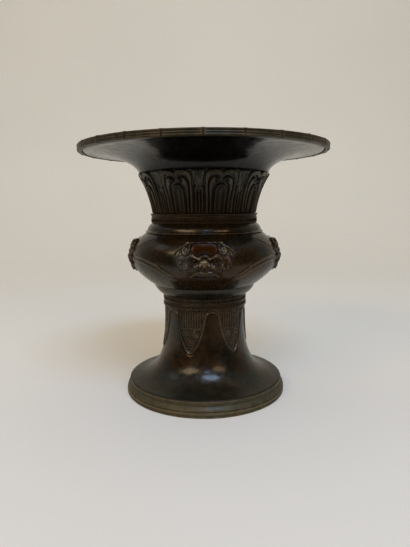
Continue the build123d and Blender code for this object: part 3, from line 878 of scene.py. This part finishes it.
class VASE_OT_neck_sleeve(bpy.types.Operator):
    """Turn the flared neck and carve the scrolled leaves on it"""
    bl_idname = "vase.neck_sleeve"
    bl_label = "Neck with leaves"

    def execute(self, context):
        sizes = context.scene.vase_sizes
        relief = sizes.leaf_relief / MM
        outer = np.array(bend(NECK, 200))
        heights = np.linspace(RING_TOP, LIP - 0.02, 104)
        radii = np.interp(heights, outer[:, 1], outer[:, 0])
        inner = [(radius - WALL, height) for radius, height in bend(NECK, 12)]
        spigot_end = RING_TOP - 18
        section = [(NECK_SPIGOT, spigot_end), (NECK_SPIGOT, RING_TOP - 0.01), *zip(radii, heights),
                   *inner[::-1], (NECK_HOLLOW, RING_TOP), (NECK_HOLLOW, spigot_end)]
        piece = lathe("neck_sleeve_carved", section, steps=792)

        def on_neck(points):
            line = flowing(points, 8)
            line[:, 1] = LIP - line[:, 1]
            return unrolled(line, NECK)

        # Half a leaf and half of the pointed one behind, as degrees from the middle and mm under the lip
        base = RING_TOP
        foot = LIP - base + 1
        leaf = closed_at(on_neck([
            (0, 2.4), (1.4, 1.2), (3.4, 0.4), (6.4, 0.15), (9.6, 0.5), (12.2, 1.6), (13.6, 4.2),
            (14.0, 9), (14.0, 16), (13.6, 26), (13.4, foot)]), -4)
        scroll = on_neck([(2.6, 9.3), (1.5, 8.0), (2.4, 6.6), (5.2, 5.5), (8.4, 6.3), (10.4, 9.2),
                          (11.0, 14), (10.5, 21), (10.1, foot)])
        scroll_under = on_neck([(7.7, foot), (7.9, 16), (7.0, 12.0), (5.0, 10.0)])
        hook = np.vstack([scroll, scroll_under])
        arch = closed_at(on_neck([(0, 11.0), (2.6, 11.8), (4.6, 14.2), (5.6, 18.5), (5.5, foot)]), -4)
        back_leaf = closed_at(on_neck([(14.7, 0.9), (15.2, 5), (16.6, 11), (18.8, 16.6), (20, 18.4)]), 30)
        back_rib = on_neck([(16.9, 14), (16.9, 24), (16.8, foot)])
        back_stem = on_neck([(20, 19), (20, foot)])
        # Share of the relief by which the ground between the leaves is cut back
        ground = -0.45

        def leaves(angle, height, radius):
            across = np.radians(np.abs(fold(angle, sizes.leaf_count, LEAF_ANGLE))) * radius
            # Broad edge of the leaf, with a groove along it where it turns over at the top
            upper = step_up(height, LIP - 10, LIP - 4)
            deep = depth_inside(across, height, leaf)
            band = 1.9 + 1.5 * upper
            rise = ground + 1.3 * step_up(deep, -0.45, 0.35) * step_up(deep, band + 0.35, band - 0.45)
            rise = rise + 0.2 * rib(deep - 0.5, 0.6) - 0.3 * upper * rib(deep - 1.5, 0.45)
            # Hooked scroll on each side, with its eye
            in_hook = depth_inside(across, height, hook)
            rise = np.maximum(rise, ground + 1.4 * step_up(in_hook, -0.35, 0.75))
            eye = np.hypot(across - np.radians(4.3) * radius, height - LIP + 8.0)
            rise = np.maximum(rise, ground + 1.45 * step_up(eye, 2.5, 1.7))
            rise = rise - 0.9 * rib(eye - 1.35, 0.45) - 0.5 * rib(eye, 0.6)
            # Sunk tongue in a raised arch
            in_arch = depth_inside(across, height, arch)
            tongue = -0.4 + 0.6 * step_up(in_arch, 1.6, 4.6)
            framed = np.where(in_arch > 1.0, np.maximum(tongue, 0.9 - 1.5 * (in_arch - 1.0)), 0.9)
            rise = np.where(in_arch > -0.3, ground + (framed - ground) * step_up(in_arch, -0.3, 0.5), rise)
            # Pointed leaf behind, with its stem and ribs
            in_point = depth_inside(across, height, back_leaf)
            ridge = 0.9 * step_up(in_point, 0.9, 5.0) * step_up(height, LIP - 2, LIP - 8)
            vee = ground + step_up(in_point, -1.0, 0.7) * (0.75 * rib(in_point - 0.7, 1.6) + ridge + 0.1)
            back = np.minimum(to_line(across, height, back_rib), to_line(across, height, back_stem))
            behind = np.maximum(vee, ground + 1.1 * rib(back, 1.1))
            rise = rise + np.maximum(behind - rise, 0) * step_up(deep, 0.0, -0.6)
            return relief * rise * step_up(height, base, base + 0.8)

        carve(piece, leaves, outer, scale=relief * 0.75, lowest=base)
        level = vertex_table(piece, "co")[:, 2] / MM
        keep_layer(piece, "tint", 0.4 * step_up(level, LIP - 11, base + 4))
        finish_piece(piece, neck_bronze, "vessel", "body_bronze", "neck_sleeve")
        return {"FINISHED"}


class VASE_OT_mouth_dish(bpy.types.Operator):
    """Turn the wide mouth with its stem"""
    bl_idname = "vase.mouth_dish"
    bl_label = "Mouth dish"

    def execute(self, context):
        stem_end = LIP - 28
        neck = np.array(bend(NECK, 60))
        heights = np.linspace(stem_end, LIP, 12)
        radii = np.interp(heights, neck[:, 1], neck[:, 0])
        stem_gap, stem_wall = 0.4, 2.3
        stem_outside = [(radius - WALL - stem_gap, height) for radius, height in zip(radii, heights)]
        stem_inside = [(radius - stem_wall, height) for radius, height in stem_outside]
        # A low step runs round under the edge
        step_radius, step_drop = 99.6, 0.35
        under = [(radius, height - step_drop * (radius > step_radius))
                 for radius, height in bend(DISH_UNDER, 60)]
        section = [*stem_outside, (57.6, LIP), *under[:-1], (104.5, DISH_EDGE),
                   *bend(DISH_INSIDE, 40)[::-1], *stem_inside[::-1][1:]]
        piece = lathe("mouth_dish_turned", section, steps=320)
        edge_wear(piece, [(57.6, LIP + 0.6)], reach=0.5)
        finish_piece(piece, mouth_bronze, "mouth", "mouth_bronze", "mouth_dish")
        return {"FINISHED"}


class VASE_OT_rim_band(bpy.types.Operator):
    """Turn the edge as stacked canes and wrap the ties round them"""
    bl_idname = "vase.rim_band"
    bl_label = "Rim band"

    def execute(self, context):
        ties = context.scene.vase_sizes.tie_count
        low, high = RIM_BASE, RIM_TOP
        cane = (high - low) / 3
        section = [(104.8, low), *straight((108.5, low + 0.1), (108.5, high - 0.1), 31), (107.6, high),
                   (104.0, high), (102.2, high - 0.3), (101.9, high - 0.8), (101.9, DISH_EDGE + 2.6),
                   (104.8, DISH_EDGE + 2.6)]
        piece = lathe("rim_band_carved", section, steps=1440)

        def wraps(angle, height, radius):
            across = np.abs(np.radians(fold(angle, ties, 0.0)) * RIM_RADIUS)
            share = (height - low) / cane % 1 * 2 - 1
            canes = 0.7 * np.clip(1 - share ** 2, 0, 1) ** 0.5 - 0.45
            bound = step_up(across, 1.5, 1.0)
            tie = 0.3 - 0.5 * rib(across - 0.35, 0.3)
            swelling = 0.1 * step_up(across, 4.5, 1.5)
            return (canes + swelling) * (1 - bound) + tie * bound

        carve(piece, wraps, [(RIM_RADIUS, low)], scale=0.5)
        keep_layer(piece, "tint", 0.2)
        finish_piece(piece, rim_bronze, "mouth", "rim_bronze", "rim_band")
        return {"FINISHED"}


class VASE_OT_inner_pieces(bpy.types.Operator):
    """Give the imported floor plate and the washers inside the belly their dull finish"""
    bl_idname = "vase.inner_pieces"
    bl_label = "Inner pieces"

    def execute(self, context):
        material = inner_bronze(context.scene.vase_finish)
        for name in ("belly_floor", "mask_roves"):
            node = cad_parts[name]
            node.data.materials.clear()
            node.data.materials.append(material)
        return {"FINISHED"}


def seamless_paper(finish):
    """Matt seamless paper: no shine, with a faint cloud of light and dark 400 mm across.

    The camera and the bronze's reflections see a painted glow growing towards the back, with no more light
    falling on the bronze. Reflections see the paper a short way in front of the vase in painted shade.
    """
    paper = bpy.data.materials.new("matt_seamless_paper")
    paper.use_nodes = True
    tree = paper.node_tree
    shader = tree.nodes["Principled BSDF"]
    # Along Y, in m: from where to where the painted glow grows, and where the painted shade in reflections
    # starts and is full
    dim_at, pale_at = -0.3, 1.6
    shade_starts, shade_full = -0.16, -0.28
    place = add_node(tree, "ShaderNodeTexCoord", output="Object")
    clouds = add_node(tree, "ShaderNodeTexNoise", {"Vector": place, "Scale": 1 / (400 * MM), "Detail": 1})
    shade = add_node(tree, "ShaderNodeMapRange", {"Value": clouds, "To Min": 0.97, "To Max": 1.03})
    clouded = add_node(tree, "ShaderNodeVectorMath", {
        0: tuple(finish.paper), "Scale": shade}, operation="SCALE")
    to_camera = add_node(tree, "ShaderNodeLightPath", output="Is Camera Ray")
    in_gloss = add_node(tree, "ShaderNodeLightPath", output="Is Glossy Ray")
    shown = add_node(tree, "ShaderNodeMath", {0: to_camera, 1: in_gloss}, operation="MAXIMUM")
    depth = add_node(tree, "ShaderNodeSeparateXYZ", {"Vector": place}, output="Y")
    # Painted light: the paper glows more strongly towards the back, for the camera and for reflections
    painted_glow = add_node(tree, "ShaderNodeMapRange", {
        "Value": depth, "From Min": dim_at, "From Max": pale_at, "To Min": 0.12, "To Max": 0.36})
    # Painted shade: reflections see the paper in front of the vase darkened
    shade_ahead = add_node(tree, "ShaderNodeMapRange", {
        "Value": depth, "From Min": shade_starts, "From Max": shade_full, "To Max": 0.85})
    reflected_shade = add_node(tree, "ShaderNodeMath", {0: shade_ahead, 1: in_gloss}, operation="MULTIPLY")
    unshaded_share = add_node(tree, "ShaderNodeMath", {0: 1.0, 1: reflected_shade}, operation="SUBTRACT")
    tone = add_node(tree, "ShaderNodeVectorMath", {0: clouded, "Scale": unshaded_share}, operation="SCALE")
    lift = add_node(tree, "ShaderNodeMath", {0: shown, 1: painted_glow}, operation="MULTIPLY")
    tree.links.new(tone, shader.inputs["Base Color"])
    tree.links.new(tone, shader.inputs["Emission Color"])
    tree.links.new(lift, shader.inputs["Emission Strength"])
    shader.inputs["Roughness"].default_value = 0.9
    shader.inputs["Specular IOR Level"].default_value = 0.1
    return paper


def dim_room():
    """World: a room that is dark in front, lighter behind the vase and under a pale ceiling.

    It lights matt surfaces a quarter less than it shows in reflections, and past the paper the camera
    sees one plain pale tone.
    """
    world = bpy.data.worlds.new("dim_room")
    world.use_nodes = True
    tree = world.node_tree
    to_camera = add_node(tree, "ShaderNodeLightPath", output="Is Camera Ray")
    in_matt = add_node(tree, "ShaderNodeLightPath", output="Is Diffuse Ray")
    way = add_node(tree, "ShaderNodeTexCoord", output="Generated")
    backward = add_node(tree, "ShaderNodeSeparateXYZ", {"Vector": way}, output="Y")
    upward = add_node(tree, "ShaderNodeSeparateXYZ", {"Vector": way}, output="Z")
    room = add_node(tree, "ShaderNodeMapRange", {
        "Value": backward, "From Min": -0.35, "From Max": 0.7, "To Min": 0.03, "To Max": 0.45})
    ceiling = add_node(tree, "ShaderNodeMapRange", {
        "Value": upward, "From Min": 0.45, "From Max": 0.85, "To Max": 0.25})
    glow = add_node(tree, "ShaderNodeMath", {0: room, 1: ceiling}, operation="ADD")
    share = add_node(tree, "ShaderNodeMapRange", {"Value": in_matt, "To Min": 1.0, "To Max": 0.75})
    level = add_node(tree, "ShaderNodeMath", {0: glow, 1: share}, operation="MULTIPLY")
    tone = add_node(tree, "ShaderNodeVectorMath", {
        0: linear("#fffdf8"), "Scale": level}, operation="SCALE")
    colour = add_node(tree, "ShaderNodeMix", {
        "Factor": to_camera, "A": tone, "B": (*linear("#c8c4b9"), 1)}, data_type="RGBA")
    tree.links.new(colour, tree.nodes["Background"].inputs["Color"])
    return world


def paper_sweep():
    """Sheet of paper that lies under the vase and curves up behind it, in m."""
    size, near_shift, back_height, round_radius = 6, 1.2, 3, 0.9
    bpy.ops.object.select_all(action="DESELECT")
    bpy.ops.mesh.primitive_plane_add(size=size, location=(0, -near_shift, 0))
    sweep = bpy.context.object
    sweep.name = sweep.data.name = "paper_sweep"
    bpy.ops.object.transform_apply(location=True)
    bpy.ops.object.mode_set(mode="EDIT")
    bpy.ops.mesh.select_mode(type="EDGE")

    def select_back_edge():
        bpy.ops.mesh.select_all(action="DESELECT")
        bpy.ops.object.mode_set(mode="OBJECT")
        for edge in sweep.data.edges:
            ends = [sweep.data.vertices[index].co for index in edge.vertices]
            edge.select = all(end.y > 1 and end.z < 1 for end in ends)
        bpy.ops.object.mode_set(mode="EDIT")

    select_back_edge()
    bpy.ops.mesh.extrude_region_move(TRANSFORM_OT_translate={"value": (0, 0, back_height)})
    select_back_edge()
    bpy.ops.mesh.bevel(offset=round_radius, segments=24)
    bpy.ops.object.mode_set(mode="OBJECT")
    bpy.ops.object.shade_smooth()
    return sweep


class VASE_OT_stage(bpy.types.Operator):
    """Set the paper sweep, the lamps, the world and the camera"""
    bl_idname = "vase.stage"
    bl_label = "Stage"

    def execute(self, context):
        scene = context.scene
        sweep = paper_sweep()
        sweep.data.materials.append(seamless_paper(scene.vase_finish))
        for name, spot, size, power, colour in LAMPS:
            light = bpy.data.lights.new(name, "AREA")
            light.shape = "ELLIPSE"
            light.size, light.size_y = size
            light.energy = power
            light.color = linear(colour)
            lamp = bpy.data.objects.new(name, light)
            lamp.location = spot
            lamp.rotation_euler = (LAMP_TARGET - lamp.location).to_track_quat("-Z", "Y").to_euler()
            scene.collection.objects.link(lamp)
        scene.world = dim_room()
        lens = bpy.data.cameras.new("photo_lens")
        lens.sensor_width = 36
        lens.lens = lens.sensor_width * FOCAL_LENGTH / FRAME_HEIGHT
        lens.clip_start = 10 * MM
        camera = bpy.data.objects.new("photo_camera", lens)
        camera.location = Vector(CAMERA_PLACE) * MM
        aim = Euler((radians(90 - CAMERA_PITCH), 0, 0)).to_matrix()
        camera.rotation_euler = (aim @ Euler((0, 0, radians(CAMERA_ROLL))).to_matrix()).to_euler()
        scene.collection.objects.link(camera)
        scene.camera = camera
        scene.view_settings.view_transform = "Standard"
        return {"FINISHED"}


class VASE_PT_sidebar(bpy.types.Panel):
    """Lists the pieces of the vase with their sizes and colours"""
    bl_idname = "VASE_PT_sidebar"
    bl_label = "Bronze Flower Vase"
    bl_space_type = "VIEW_3D"
    bl_region_type = "UI"
    bl_category = "Vase"

    def draw(self, context):
        for operator in OPERATORS:
            self.layout.operator(operator.bl_idname)
        for group in (context.scene.vase_sizes, context.scene.vase_finish):
            box = self.layout.box()
            for name in group.__annotations__:
                box.prop(group, name)


OPERATORS = (
    VASE_OT_foot_rim, VASE_OT_foot_column, VASE_OT_foot_collar, VASE_OT_seat_ring, VASE_OT_belly,
    VASE_OT_masks, VASE_OT_shoulder_ring, VASE_OT_neck_ring, VASE_OT_neck_sleeve, VASE_OT_mouth_dish,
    VASE_OT_rim_band, VASE_OT_inner_pieces, VASE_OT_stage,
)
CLASSES = (VaseSizes, VaseFinish, *OPERATORS, VASE_PT_sidebar)


def register():
    for item in CLASSES:
        bpy.utils.register_class(item)
    bpy.types.Scene.vase_sizes = PointerProperty(type=VaseSizes)
    bpy.types.Scene.vase_finish = PointerProperty(type=VaseFinish)


def unregister():
    del bpy.types.Scene.vase_finish
    del bpy.types.Scene.vase_sizes
    for item in reversed(CLASSES):
        bpy.utils.unregister_class(item)


def main():
    register()
    for operator in OPERATORS:
        name = operator.bl_idname.split(".")[1]
        getattr(bpy.ops.vase, name)()


if __name__ == "__main__":
    main()
